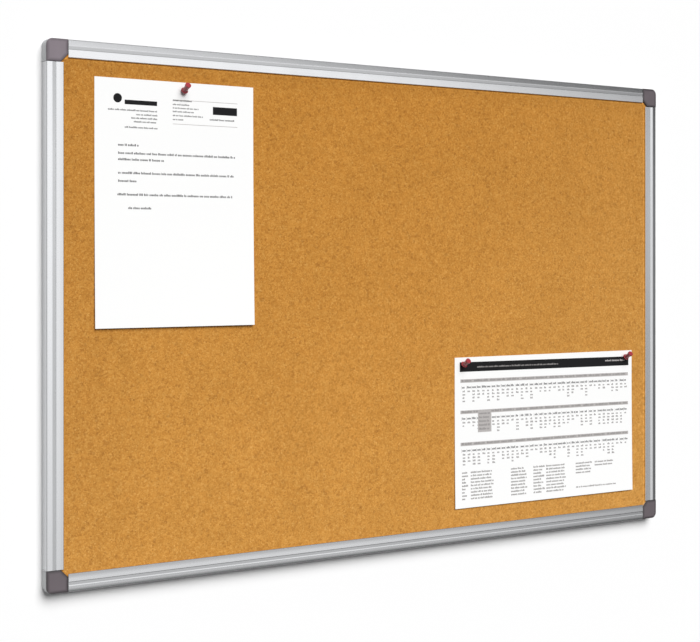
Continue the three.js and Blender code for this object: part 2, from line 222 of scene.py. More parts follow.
def extruded(
    outline: Sequence[Point], holes: Sequence[Sequence[Point]], start: float, end: float
) -> Form:
    """A bar along X with a section of (depth, distance in from the outer side).

    Args:
        outline: The outer line of the section.
        holes: The lines of the chambers that run through it.
        start: Where the bar starts on X.
        end: Where it ends on X.

    Returns:
        The closed bar.
    """
    form = Form()
    loops = [outline, *holes]
    for x in (start, end):
        for loop in loops:
            form.points.extend(Vector((x, -depth, -across)) for depth, across in loop)
    half = len(form.points) // 2
    first = 0
    for loop in loops:
        count = len(loop)
        for i in range(count):
            here, beside = first + i, first + (i + 1) % count
            form.faces.append((here, beside, beside + half, here + half))
        first += count
    flat = [[Vector((depth, across, 0.0)) for depth, across in loop] for loop in loops]
    for a, b, c in tessellate_polygon(flat):
        form.faces.append((a, b, c))
        form.faces.append((half + a, half + c, half + b))
    return form


def lofted(levels: Sequence[tuple[Sequence[Point], float]]) -> Form:
    """A closed body through a stack of outlines with the same number of points.

    Args:
        levels: Each outline in (x, z) with its depth, the rear one first.

    Returns:
        The body, closed at both ends.
    """
    form = Form()
    count = len(levels[0][0])
    for outline, depth in levels:
        form.points.extend(Vector((x, -depth, z)) for x, z in outline)
    for level in range(len(levels) - 1):
        for i in range(count):
            here, beside = level * count + i, level * count + (i + 1) % count
            form.faces.append((here, beside, beside + count, here + count))
    form.faces.append(tuple(range(count)))
    last = (len(levels) - 1) * count
    form.faces.append(tuple(range(last, last + count)))
    return form


def turned(profile: Sequence[Point], steps: int) -> Form:
    """A turned body about the Y axis.

    Args:
        profile: Points as (radius, height), closed through the axis where the radius is zero.
        steps: How many faces go round it.

    Returns:
        The closed body.
    """
    form = Form()
    rings: list[list[int]] = []
    for radius, height in profile:
        start = len(form.points)
        if radius == 0:
            form.points.append(Vector((0.0, height, 0.0)))
            rings.append([start] * steps)
            continue
        for step in range(steps):
            angle = math.tau * step / steps
            form.points.append(Vector((radius * math.cos(angle), height, radius * math.sin(angle))))
        rings.append(list(range(start, start + steps)))
    closed = profile[0][0] > 0
    for i in range(len(rings) if closed else len(rings) - 1):
        here, above = rings[i], rings[(i + 1) % len(rings)]
        for step in range(steps):
            beside = (step + 1) % steps
            face = (here[step], here[beside], above[beside], above[step])
            face = tuple(dict.fromkeys(face))
            if len(face) > 2:
                form.faces.append(face)
    return form


def arc(centre: Point, radius: float, start: float, end: float, steps: int) -> list[Point]:
    """Points along an arc, with its angles in degrees."""
    angles = [math.radians(start + (end - start) * step / steps) for step in range(steps + 1)]
    return [(centre[0] + radius * math.cos(a), centre[1] + radius * math.sin(a)) for a in angles]


def combined(
    base: bpy.types.Object, tools: Iterable[bpy.types.Object], way: Way
) -> bpy.types.Object:
    """Joins or cuts one object with others, and keeps the result in its mesh.

    Args:
        base: The object that is kept.
        tools: The objects it is joined or cut with, which are removed.
        way: Whether they are joined or cut away.

    Returns:
        The base object.
    """
    used = list(tools)
    for tool in used:
        step = base.modifiers.new("step", "BOOLEAN")
        step.operation = way.value
        step.solver = "EXACT"
        step.object = tool
    bpy.context.view_layer.update()
    evaluated = base.evaluated_get(bpy.context.evaluated_depsgraph_get())
    result = bpy.data.meshes.new_from_object(evaluated)
    base.modifiers.clear()
    old = base.data
    name = old.name
    base.data = result
    bpy.data.meshes.remove(old)
    result.name = name
    for tool in used:
        bpy.data.meshes.remove(tool.data)
    return base


def softened(piece: bpy.types.Object, degrees: float = 28.0) -> bpy.types.Object:
    """Shades a piece smooth, with sharp edges above an angle and flat faces kept flat."""
    piece.data.shade_smooth()
    piece.data.set_sharp_from_angle(angle=math.radians(degrees))
    normals = piece.modifiers.new("normals", "WEIGHTED_NORMAL")
    normals.keep_sharp = True
    return piece


# Finishes


class Nodes:
    """A tree of nodes, with short ways to add and join them."""

    def __init__(self, tree: bpy.types.NodeTree) -> None:
        """Keeps the tree that the nodes go into."""
        self.tree = tree

    def add(self, kind: str, **settings: object) -> bpy.types.Node:
        """Adds a node with its settings."""
        node = self.tree.nodes.new(kind)
        for key, value in settings.items():
            setattr(node, key, value)
        return node

    def put(self, source: Feed, socket: bpy.types.NodeSocket) -> None:
        """Links a socket to a source, or sets it to a value."""
        if isinstance(source, bpy.types.NodeSocket):
            self.tree.links.new(source, socket)
        else:
            socket.default_value = source

    def span(
        self, value: Feed, source: Band, target: Band, smooth: bool = False
    ) -> bpy.types.NodeSocket:
        """Maps one range of a value to another."""
        node = self.add("ShaderNodeMapRange")
        node.interpolation_type = "SMOOTHSTEP" if smooth else "LINEAR"
        self.put(value, node.inputs["Value"])
        for socket, number in zip(("From Min", "From Max", "To Min", "To Max"), (*source, *target)):
            node.inputs[socket].default_value = number
        return node.outputs["Result"]

    def sum(self, way: str, first: Feed, second: Feed) -> bpy.types.NodeSocket:
        """One sum of two numbers, such as ADD or MULTIPLY."""
        node = self.add("ShaderNodeMath", operation=way)
        self.put(first, node.inputs[0])
        self.put(second, node.inputs[1])
        return node.outputs[0]

    def weighed(self, first: Feed, share: float, second: Feed) -> bpy.types.NodeSocket:
        """Two values added, the first with its share and the second with the rest."""
        rest = self.sum("MULTIPLY", second, 1 - share)
        return self.sum("ADD", self.sum("MULTIPLY", first, share), rest)


class Recipe(Nodes):
    """The nodes of one material."""

    def __init__(self, name: str) -> None:
        """Starts a material with its plain shader."""
        self.material = bpy.data.materials.new(name)
        self.material.use_nodes = True
        super().__init__(self.material.node_tree)
        self.surface = self.tree.nodes["Principled BSDF"]
        self.place = self.add("ShaderNodeTexCoord").outputs["Object"]

    def set(self, name: str, source: Feed) -> None:
        """Feeds one input of the shader by name."""
        self.put(source, self.surface.inputs[name])

    def stretched(self, scale: Place) -> bpy.types.NodeSocket:
        """The object's own coordinates, scaled along each axis."""
        node = self.add("ShaderNodeMapping")
        self.put(self.place, node.inputs["Vector"])
        node.inputs["Scale"].default_value = scale
        return node.outputs["Vector"]

    def noise(self, scale: float, detail: float = 2.0, at: Feed | None = None) -> bpy.types.NodeSocket:
        """Soft noise from 0 to 1, with its scale per metre."""
        node = self.add("ShaderNodeTexNoise")
        self.put(at or self.place, node.inputs["Vector"])
        node.inputs["Scale"].default_value = scale
        node.inputs["Detail"].default_value = detail
        return node.outputs["Fac"]

    def cells(self, scale: float, at: Feed, feature: str = "F1") -> bpy.types.Node:
        """A node of cells, such as granules, with their number per metre."""
        node = self.add("ShaderNodeTexVoronoi", feature=feature)
        self.put(at, node.inputs["Vector"])
        node.inputs["Scale"].default_value = scale
        return node

    def shades(self, value: Feed, stops: Stops) -> bpy.types.NodeSocket:
        """A colour for a value, from a row of stops."""
        node = self.add("ShaderNodeValToRGB")
        self.put(value, node.inputs["Fac"])
        ramp = node.color_ramp.elements
        while len(ramp) < len(stops):
            ramp.new(0.5)
        for element, (position, colour) in zip(ramp, stops):
            element.position = position
            element.color = (*colour, 1.0)
        return node.outputs["Color"]

    def mixed(self, way: str, factor: Feed, first: Feed, second: Feed) -> bpy.types.NodeSocket:
        """Two colours laid over each other, such as MIX or MULTIPLY."""
        node = self.add("ShaderNodeMix", data_type="RGBA", blend_type=way)
        self.put(factor, node.inputs[0])
        self.put(first, node.inputs[6])
        self.put(second, node.inputs[7])
        return node.outputs[2]

    def times(self, first: Feed, second: Feed) -> bpy.types.NodeSocket:
        """Two colours, or a colour and a shade, multiplied."""
        return self.mixed("MULTIPLY", 1.0, first, second)

    def tinted(self, colour: Colour, value: Feed, stops: Stops) -> bpy.types.NodeSocket:
        """A plain colour that changes a little with a value."""
        return self.times((*colour, 1.0), self.shades(value, stops))

    def along(self, axis: str) -> bpy.types.NodeSocket:
        """The place along one axis of the board, in metres."""
        split = self.add("ShaderNodeSeparateXYZ")
        self.put(self.place, split.inputs[0])
        return split.outputs[axis]

    def inset(self, run: Run) -> bpy.types.NodeSocket:
        """How far a place lies in from the outer side of the rails that run one way, in millimetres."""
        half, axis = (HALF_HEIGHT, "Z") if run is Run.LEVEL else (HALF_WIDTH, "X")
        out = self.sum("DIVIDE", self.sum("ABSOLUTE", self.along(axis), 0.0), MM)
        return self.sum("SUBTRACT", half, out)

    def relief(self, height: Feed, distance: float, strength: float = 1.0) -> None:
        """Gives the surface a fine relief, its depth in millimetres."""
        node = self.add("ShaderNodeBump")
        self.put(height, node.inputs["Height"])
        node.inputs["Distance"].default_value = distance * MM
        node.inputs["Strength"].default_value = strength
        self.put(node.outputs["Normal"], self.surface.inputs["Normal"])


@dataclass(frozen=True)
class Anodised:
    """Satin anodised aluminium, with faint die lines along the rail and bands of painted shade.

    The bands of painted shade lie along the outer side, in the groove and towards the lip, and are
    measured in from the outer side in millimetres. How dark each one is was fitted to the
    photograph.
    """

    name: str
    run: Run
    colour: Colour = (0.91, 0.92, 0.94)
    roughness: float = 0.20
    unevenness: float = 0.02
    lines_per_metre: float = 1600.0
    lines_stretch: float = 0.004
    # Bands of painted shade, in from the outer side in millimetres.
    side: Band = (0.0, 0.9)
    side_painted_shade: float = 0.62
    groove_near: Band = (6.8, 8.0)
    groove_far: Band = (10.7, 11.3)
    groove_painted_shade: float = 0.88
    lip: Band = (14.0, 18.0)
    lip_painted_shade: float = 0.92

    def bands(self, recipe: Recipe) -> bpy.types.NodeSocket:
        """How light the bands of painted shade leave each place."""
        inset = recipe.inset(self.run)
        side = recipe.span(inset, self.side, (self.side_painted_shade, 1.0), True)
        near = recipe.span(inset, self.groove_near, (1.0, self.groove_painted_shade), True)
        far = recipe.span(inset, self.groove_far, (self.groove_painted_shade, 1.0), True)
        lip = recipe.span(inset, self.lip, (1.0, self.lip_painted_shade), True)
        groove = recipe.sum("MAXIMUM", near, far)
        return recipe.sum("MULTIPLY", recipe.sum("MULTIPLY", side, groove), lip)

    def material(self) -> bpy.types.Material:
        """The finish as a material."""
        recipe = Recipe(f"anodised_{self.name}")
        along, across = self.lines_stretch, 1.0
        scale = (along, across, across) if self.run is Run.LEVEL else (across, across, along)
        lines = recipe.noise(self.lines_per_metre, 3.0, recipe.stretched(scale))
        cloud = recipe.noise(30.0, 3.0)
        drawn = recipe.tinted(self.colour, lines, [(0.3, (0.97, 0.97, 0.97)), (0.7, (1.0, 1.0, 1.0))])
        # The die-lined colour, darkened by the bands of painted shade.
        recipe.set("Base Color", recipe.times(drawn, self.bands(recipe)))
        least, most = self.roughness - self.unevenness, self.roughness + self.unevenness
        rough = recipe.span(lines, (0.25, 0.75), (least, most))
        duller = recipe.span(cloud, (0.3, 0.7), (0.0, self.unevenness))
        recipe.set("Roughness", recipe.sum("ADD", rough, duller))
        recipe.set("Metallic", 1.0)
        recipe.relief(lines, 0.01, 0.12)
        return recipe.material


@dataclass(frozen=True)
class RimPaintedShade:
    """A corner cap's painted light and shade, as fitted to the photograph: darker towards its rim
    and a little lighter on its face.
    """

    face: float
    chamfer: float
    dark: float = 0.36
    light: float = 1.12
    reach: float = 4.5

    def shade(self, recipe: Recipe) -> bpy.types.NodeSocket:
        """The painted light and shade at each place, from its distance to the cap's nearest edge."""
        across, down = recipe.inset(Run.UPRIGHT), recipe.inset(Run.LEVEL)
        near = recipe.sum("MINIMUM", across, down)
        far = recipe.sum("SUBTRACT", self.face, recipe.sum("MAXIMUM", across, down))
        corner = recipe.sum("SUBTRACT", 2 * self.face - self.chamfer, recipe.sum("ADD", across, down))
        inside = recipe.sum("MINIMUM", far, recipe.sum("MULTIPLY", corner, math.sqrt(0.5)))
        rim = recipe.sum("MINIMUM", near, inside)
        return recipe.span(rim, (0.0, self.reach), (self.dark, self.light), True)


@dataclass(frozen=True)
class Moulded:
    """A moulded plastic with a fine satin texture."""

    name: str
    colour: Colour
    roughness: float = 0.5
    unevenness: float = 0.06
    grain: float = 2400.0
    gloss: float = 0.5
    rim: RimPaintedShade | None = None

    def material(self) -> bpy.types.Material:
        """The finish as a material."""
        recipe = Recipe(self.name)
        grain = recipe.noise(self.grain, 4.0)
        cloud = recipe.noise(90.0, 3.0)
        tone = recipe.weighed(grain, 0.5, cloud)
        plain = recipe.tinted(self.colour, tone, [(0.3, (0.88, 0.88, 0.88)), (0.7, (1.08, 1.08, 1.08))])
        # A cap's colour takes the painted shade of its rim; other plastics stay plain.
        shade = self.rim.shade(recipe) if self.rim else (1.0, 1.0, 1.0, 1.0)
        recipe.set("Base Color", recipe.times(plain, shade))
        least, most = self.roughness - self.unevenness, self.roughness + self.unevenness
        recipe.set("Roughness", recipe.span(grain, (0.3, 0.7), (least, most)))
        recipe.surface.inputs["Specular IOR Level"].default_value = self.gloss
        recipe.relief(grain, 0.05, 0.6)
        return recipe.material


@dataclass(frozen=True)
class Cork:
    """Pressed cork: fine granules in a few browns, with painted shade in the crevices between them.

    Its tone over the board was fitted to the photograph and holds painted light and shade: it is
    darker and warmer upwards, darker at the left and bluer at the right, darker in a band below the
    top lip, and paler in a thin line of painted light beside the top and the right lip.
    Places on the board are in metres from its middle.
    """

    browns: Stops = (
        (0.08, (0.490, 0.209, 0.040)),
        (0.28, (0.617, 0.271, 0.050)),
        (0.52, (0.675, 0.310, 0.060)),
        (0.78, (0.733, 0.354, 0.075)),
        (0.95, (0.796, 0.418, 0.108)),
    )
    speck: Colour = (0.270, 0.100, 0.020)
    speck_share: float = 0.25
    # Painted shade in the crevices between granules.
    crevice_painted_shade: float = 0.87
    coarse_per_metre: float = 520.0
    fine_per_metre: float = 1150.0
    specks_per_metre: float = 300.0
    # Painted shade: the cork is darker and warmer upwards.
    half_height: float = 0.29
    rise: Stops = ((0.0, (0.95, 0.968, 1.06)), (1.0, (0.802, 0.757, 0.69)))
    # Painted light and shade across: darker at the left, bluer at the right.
    half_width: float = 0.44
    across: Stops = (
        (0.0, (0.93, 0.935, 0.95)),
        (0.13, (1.0, 1.0, 1.0)),
        (0.55, (1.0, 1.0, 1.0)),
        (1.0, (1.0, 1.045, 1.15)),
    )
    cloud: Stops = ((0.3, (0.965, 0.96, 0.95)), (0.7, (1.03, 1.03, 1.04)))
    patch: Band = (0.955, 1.045)
    # Painted shadow of the top rail: a darker band of cork below it.
    top_band: Band = (0.255, 0.278)
    top_band_painted_shade: float = 0.93
    # Painted light: paler thin lines beside the top and the right lip, over their shadow.
    top_edge: Band = (0.2770, 0.2792)
    top_lip_painted_light: float = 1.45
    right_edge: Band = (0.4270, 0.4292)
    right_lip_painted_light: float = 1.3

    def material(self) -> bpy.types.Material:
        """The finish as a material."""
        recipe = Recipe("cork")
        at = self.bent(recipe)
        coarse = self.tone(recipe, recipe.cells(self.coarse_per_metre, at))
        fine = self.tone(recipe, recipe.cells(self.fine_per_metre, at))
        speck = self.tone(recipe, recipe.cells(self.specks_per_metre, at))
        tone = recipe.weighed(coarse, 0.55, fine)
        dark = recipe.span(speck, (0.93, 0.97), (0.0, self.speck_share), True)
        granules = recipe.mixed("MIX", dark, recipe.shades(tone, self.browns), (*self.speck, 1.0))
        edge = recipe.cells(self.coarse_per_metre, at, "DISTANCE_TO_EDGE").outputs["Distance"]
        # Painted shade towards the crevices between granules.
        granules = recipe.times(granules, recipe.span(edge, (0.0, 0.10), (self.crevice_painted_shade, 1.0), True))
        recipe.set("Base Color", self.tone_and_painted_light(recipe, granules))
        recipe.set("Roughness", recipe.span(tone, (0.2, 0.8), (0.95, 0.80)))
        recipe.surface.inputs["Specular IOR Level"].default_value = 0.25
        bumps = recipe.span(edge, (0.0, 0.25), (0.0, 1.0), True)
        recipe.relief(recipe.sum("ADD", bumps, recipe.sum("MULTIPLY", fine, 0.5)), 0.15, 0.5)
        return recipe.material

    def tone_and_painted_light(self, recipe: Recipe, granules: bpy.types.NodeSocket) -> bpy.types.NodeSocket:
        """The granules' colour with painted light and shade and slow random changes over the board."""
        up, along = recipe.along("Z"), recipe.along("X")
        # Painted shade: darker and warmer upwards.
        rise = recipe.span(up, (-self.half_height, self.half_height), (0.0, 1.0))
        granules = recipe.times(granules, recipe.shades(rise, self.rise))
        # Painted light and shade across the board: darker at the left, bluer at the right.
        across = recipe.span(along, (-self.half_width, self.half_width), (0.0, 1.0))
        granules = recipe.times(granules, recipe.shades(across, self.across))
        # Painted shadow of the top rail: a darker band below it.
        granules = recipe.times(granules, recipe.span(up, self.top_band, (1.0, self.top_band_painted_shade), True))
        granules = recipe.times(granules, recipe.shades(recipe.noise(9.0, 4.0), self.cloud))
        granules = recipe.times(granules, recipe.span(recipe.noise(105.0, 1.0), (0.3, 0.7), self.patch))
        # Painted light: paler thin lines beside the top and the right lip, over their shadow.
        top = recipe.span(up, self.top_edge, (1.0, self.top_lip_painted_light), True)
        right = recipe.span(along, self.right_edge, (1.0, self.right_lip_painted_light), True)
        return recipe.times(granules, recipe.sum("MAXIMUM", top, right))

    @staticmethod
    def bent(recipe: Recipe) -> bpy.types.NodeSocket:
        """The object's own coordinates, bent a little so that no granule has straight sides."""
        warp = recipe.add("ShaderNodeTexNoise")
        recipe.put(recipe.place, warp.inputs["Vector"])
        warp.inputs["Scale"].default_value = 500.0
        spread = recipe.add("ShaderNodeVectorMath", operation="MULTIPLY_ADD")
        recipe.put(warp.outputs["Color"], spread.inputs[0])
        spread.inputs[1].default_value = (0.0012, 0.0012, 0.0012)
        recipe.put(recipe.place, spread.inputs[2])
        return spread.outputs["Vector"]

    @staticmethod
    def tone(recipe: Recipe, cells: bpy.types.Node) -> bpy.types.NodeSocket:
        """One random number for each granule."""
        split = recipe.add("ShaderNodeSeparateColor")
        recipe.put(cells.outputs["Color"], split.inputs[0])
        return split.outputs[0]


@dataclass(frozen=True)
class Fibre:
    """Pressed fibre, for the softboard and the backing sheet."""

    name: str
    colour: Colour

    def material(self) -> bpy.types.Material:
        """The finish as a material."""
        recipe = Recipe(self.name)
        strands = recipe.noise(900.0, 5.0, recipe.stretched((1.0, 1.0, 0.35)))
        cloud = recipe.noise(25.0, 4.0)
        stops = ((0.35, (0.74, 0.70, 0.66)), (0.65, (1.12, 1.12, 1.10)))
        recipe.set("Base Color", recipe.tinted(self.colour, recipe.weighed(strands, 0.7, cloud), stops))
        recipe.set("Roughness", 0.92)
        recipe.relief(strands, 0.08, 0.7)
        return recipe.material


@dataclass(frozen=True)
class Steel:
    """Bright plated steel, with faint turning marks."""

    name: str
    colour: Colour = (0.70, 0.71, 0.73)
    roughness: float = 0.24

    def material(self) -> bpy.types.Material:
        """The finish as a material."""
        recipe = Recipe(self.name)
        marks = recipe.noise(4000.0, 3.0)
        stops = ((0.3, (0.9, 0.9, 0.9)), (0.7, (1.0, 1.0, 1.0)))
        recipe.set("Base Color", recipe.tinted(self.colour, marks, stops))
        recipe.set("Metallic", 1.0)
        rough = (self.roughness - 0.05, self.roughness + 0.08)
        recipe.set("Roughness", recipe.span(marks, (0.3, 0.7), rough))
        return recipe.material


@dataclass(frozen=True)
class Paper:
    """Smooth white office paper."""

    colour: Colour = (0.955, 0.955, 0.95)

    def material(self) -> bpy.types.Material:
        """The finish as a material."""
        recipe = Recipe("paper")
        fibres = recipe.noise(2600.0, 4.0, recipe.stretched((1.0, 1.0, 0.5)))
        stops = ((0.3, (0.985, 0.985, 0.985)), (0.7, (1.0, 1.0, 1.0)))
        recipe.set("Base Color", recipe.tinted(self.colour, fibres, stops))
        recipe.set("Roughness", recipe.span(fibres, (0.3, 0.7), (0.78, 0.88)))
        recipe.surface.inputs["Specular IOR Level"].default_value = 0.2
        recipe.relief(fibres, 0.02, 0.5)
        return recipe.material


@dataclass(frozen=True)
class Ink:
    """Toner on paper, a little uneven."""

    weight: Weight
    colour: Colour

    def material(self) -> bpy.types.Material:
        """The finish as a material."""
        recipe = Recipe(f"ink_{self.weight.value}")
        toner = recipe.noise(3000.0, 3.0)
        stops = ((0.3, (0.85, 0.85, 0.85)), (0.7, (1.1, 1.1, 1.1)))
        recipe.set("Base Color", recipe.tinted(self.colour, toner, stops))
        recipe.set("Roughness", recipe.span(toner, (0.3, 0.7), (0.55, 0.75)))
        recipe.surface.inputs["Specular IOR Level"].default_value = 0.25
        return recipe.material


@dataclass(frozen=True)
class Gloss:
    """Glossy moulded plastic, for the heads of the push pins."""

    name: str = "pin_plastic"
    colour: Colour = (0.34, 0.030, 0.045)

    def material(self) -> bpy.types.Material:
        """The finish as a material."""
        recipe = Recipe(self.name)
        flow = recipe.noise(350.0, 3.0)
        stops = ((0.3, (0.90, 0.85, 0.85)), (0.7, (1.06, 1.0, 1.0)))
        recipe.set("Base Color", recipe.tinted(self.colour, flow, stops))
        recipe.set("Roughness", recipe.span(flow, (0.3, 0.7), (0.20, 0.28)))
        recipe.surface.inputs["Coat Weight"].default_value = 0.4
        recipe.surface.inputs["Coat Roughness"].default_value = 0.08
        return recipe.material


def dressed(piece: bpy.types.Object, finish: bpy.types.Material) -> bpy.types.Object:
    """Gives a new piece its one material."""
    piece.data.materials.clear()
    piece.data.materials.append(finish)
    return piece


def wear(names: Iterable[str], finish: bpy.types.Material) -> None:
    """Gives carried-over nodes a finish in their own material slots.

    Args:
        names: The nodes that get it.
        finish: The material.
    """
    for name in names:
        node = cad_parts[name]
        for slot in node.material_slots:
            slot.material = finish
        log.info("%s keeps its own shape", name)


def settle(piece: bpy.types.Object, body: str, nodes: Sequence[str] = ()) -> None:
    """Puts a finished piece on its body and hides the nodes that it stands for.

    Args:
        piece: The piece.
        body: The body it rides on.
        nodes: The nodes it stands for.
    """
    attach(piece, body)
    if nodes:
        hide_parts(*nodes)
    log.info("%s rides on %s", piece.name, body)


# The frame


@dataclass(frozen=True)
class CornerFrame:
    """One corner of the board and the rail that starts there."""

    corner: str
    side: str
    x: float
    z: float
    length: float
    quarter: int
    run: Run

    def matrix(self) -> Matrix:
        """From the corner's own frame to the board's, in millimetres."""
        turn = Matrix.Rotation(self.quarter * math.pi / 2, 4, "Y")
        return Matrix.Translation((self.x, 0.0, self.z)) @ turn


CORNERS = (
    CornerFrame("top_left", "top", -HALF_WIDTH, HALF_HEIGHT, BOARD_WIDTH, 0, Run.LEVEL),
    CornerFrame("top_right", "right", HALF_WIDTH, HALF_HEIGHT, BOARD_HEIGHT, 1, Run.UPRIGHT),
    CornerFrame("bottom_right", "bottom", HALF_WIDTH, -HALF_HEIGHT, BOARD_WIDTH, 2, Run.LEVEL),
    CornerFrame("bottom_left", "left", -HALF_WIDTH, -HALF_HEIGHT, BOARD_HEIGHT, 3, Run.UPRIGHT),
)


@dataclass
class Rails:
    """The four extruded rails, with the screws that hold the key legs in them."""

    face: float = 20.0
    front_wall: float = 1.4
    rear_wall: float = 1.2
    side_wall: float = 1.4
    web_outer: float = 6.7
    web_inner: float = 8.0
    flange_reach: float = 16.0
    groove: Band = (6.6, 11.1)
    groove_depth: float = 0.6
    groove_wall: float = 0.4
    outer_fall: float = 0.4
    lip_start: float = 14.5
    lip_flat: float = 0.05
    head_radius: float = 2.1
    shank_radius: float = 1.1
    screw_length: float = 9.5
    screw_point: float = 1.8
    screw_sink: float = 0.1
    thread_core: float = 0.78
    thread_crest: float = 0.45
    thread_pitch: float = 0.75
    thread_end: float = 0.3
    head_edge: float = 0.12
    head_round: float = 0.08
    recess_length: float = 2.5
    recess_width: float = 0.6
    recess_depth: float = 0.7
    recess_taper: Point = (0.6, 0.5)
    recess_over: float = 0.5
    hole_over: float = 1.0
    fillet_steps: int = 6
    turn_steps: int = 40

    def section(self) -> list[Point]:
        """The outer line of the rail's section, each of its corners rounded by the third number."""
        front = FRAME_DEPTH
        floor = front - self.groove_depth
        start, end = self.groove
        lip_under = CORK_FRONT + SLIP_GAP
        lip_round = (front - lip_under) / 2 - self.lip_flat
        inside = front - self.front_wall
        lip_root = self.lip_start - (inside - lip_under)
        return rounded([
            (0.0, 0.0, 0.4),
            (front - self.outer_fall, 0.0, 1.2),
            (front, start, 1.0),
            (floor, end - self.groove_wall, 0.3),
            (front, end, 0.2),
            (front, self.face, lip_round),
            (lip_under, self.face, lip_round),
            (lip_under, self.lip_start, 0.3),
            (inside, lip_root, 0.3),
            (inside, self.web_inner, 0.4),
            (self.rear_wall, self.web_inner, 0.4),
            (self.rear_wall, self.flange_reach, 0.4),
            (0.0, self.flange_reach, 0.3),
        ], self.fillet_steps)

    def chamber(self) -> list[Point]:
        """The line of the closed chamber that the key legs fill."""
        near, far = self.rear_wall, FRAME_DEPTH - self.front_wall
        return rounded([
            (near, self.side_wall, 0.25),
            (near, self.web_outer, 0.25),
            (far, self.web_outer, 0.25),
            (far, self.side_wall, 0.25),
        ], self.fillet_steps)

    def stations(self, length: float) -> Band:
        """Where a rail's two screws stand along its side."""
        first = RAIL_SETBACK + SCREW_SETBACK
        return first, length - first

    def countersink(self) -> Form:
        """The hole for one screw, as the body that is cut away."""
        mouth = self.head_radius + self.screw_sink + FIT_GAP
        bore = self.shank_radius + FIT_GAP
        return turned([
            (0.0, -self.rear_wall - self.hole_over),
            (bore, -self.rear_wall - self.hole_over),
            (bore, bore - mouth),
            (mouth, 0.0),
            (mouth, self.hole_over),
            (0.0, self.hole_over),
        ], self.turn_steps)

    def screw(self, name: str, matrix: Matrix) -> bpy.types.Object:
        """One countersunk screw with a thread and a cross recess.

        Args:
            name: The name of the piece.
            matrix: Where it stands.

        Returns:
            The screw.
        """
        top = -self.screw_sink
        neck = top - (self.head_radius - self.shank_radius)
        core = self.shank_radius * self.thread_core
        height = self.screw_point - self.screw_length
        profile: list[Point] = [(0.0, -self.screw_length), (core, height)]
        while height + self.thread_pitch < neck - self.thread_end:
            profile.append((self.shank_radius, height + self.thread_pitch * self.thread_crest))
            height += self.thread_pitch
            profile.append((core, height))
        profile.extend([
            (self.shank_radius, neck),
            (self.head_radius, top - self.head_edge),
            (self.head_radius - self.head_round, top),
            (0.0, top),
        ])
        body = turned(profile, self.turn_steps).moved(matrix).made(name)
        bars = []
        for quarter in range(2):
            spin = Matrix.Rotation(quarter * math.pi / 2, 4, "Y")
            bars.append(self.recess().moved(matrix @ spin).made(f"{name}_recess_{quarter}"))
        return softened(combined(body, bars, Way.CUT))

    def recess(self) -> Form:
        """One arm of the cross recess, as the body that is cut away."""
        long, wide = self.recess_length / 2, self.recess_width / 2
        deep_long, deep_wide = long * self.recess_taper[0], wide * self.recess_taper[1]
        return lofted([
            (rectangle((-long, -wide), (long, wide)), self.screw_sink - self.recess_over),
            (
                rectangle((-deep_long, -deep_wide), (deep_long, deep_wide)),
                self.screw_sink + self.recess_depth,
            ),
        ])

    def build(self) -> None:
        """Builds the four rails and their eight screws, and dresses them."""
        # Each rail's finish has its own painted shade; the bottom one is also painted lighter.
        finishes = {finish.name: finish.material() for finish in (
            Anodised("top", Run.LEVEL, groove_painted_shade=0.77, lip_painted_shade=1.0),
            Anodised("right", Run.UPRIGHT, side_painted_shade=0.72, side=(0.5, 5.5)),
            Anodised(
                "bottom", Run.LEVEL, (0.955, 0.965, 0.985), side_painted_shade=0.45, side=(1.2, 4.6),
                groove_painted_shade=0.53, lip=(13.5, 18.5), lip_painted_shade=0.70,
            ),
            Anodised("left", Run.UPRIGHT),
        )}
        steel = Steel("screw_steel").material()
        for corner in CORNERS:
            matrix = corner.matrix()
            bar = extruded(self.section(), [self.chamber()], RAIL_SETBACK, corner.length - RAIL_SETBACK)
            rail = bar.moved(matrix).made(f"{corner.side}_rail_extrusion")
            holes = []
            for end, station in enumerate(self.stations(corner.length), 1):
                seat = matrix @ Matrix.Translation((station, 0.0, -SCREW_ACROSS))
                holes.append(self.countersink().moved(seat).made(f"hole_{end}"))
                screw = self.screw(f"{corner.side}_rail_thread_screw_{end}", seat)
                dressed(screw, steel)
                settle(screw, "board", [f"{corner.side}_rail_screw_{end}"])
            softened(combined(rail, holes, Way.CUT))
            dressed(rail, finishes[corner.side])
            settle(rail, "board", [f"{corner.side}_rail"])


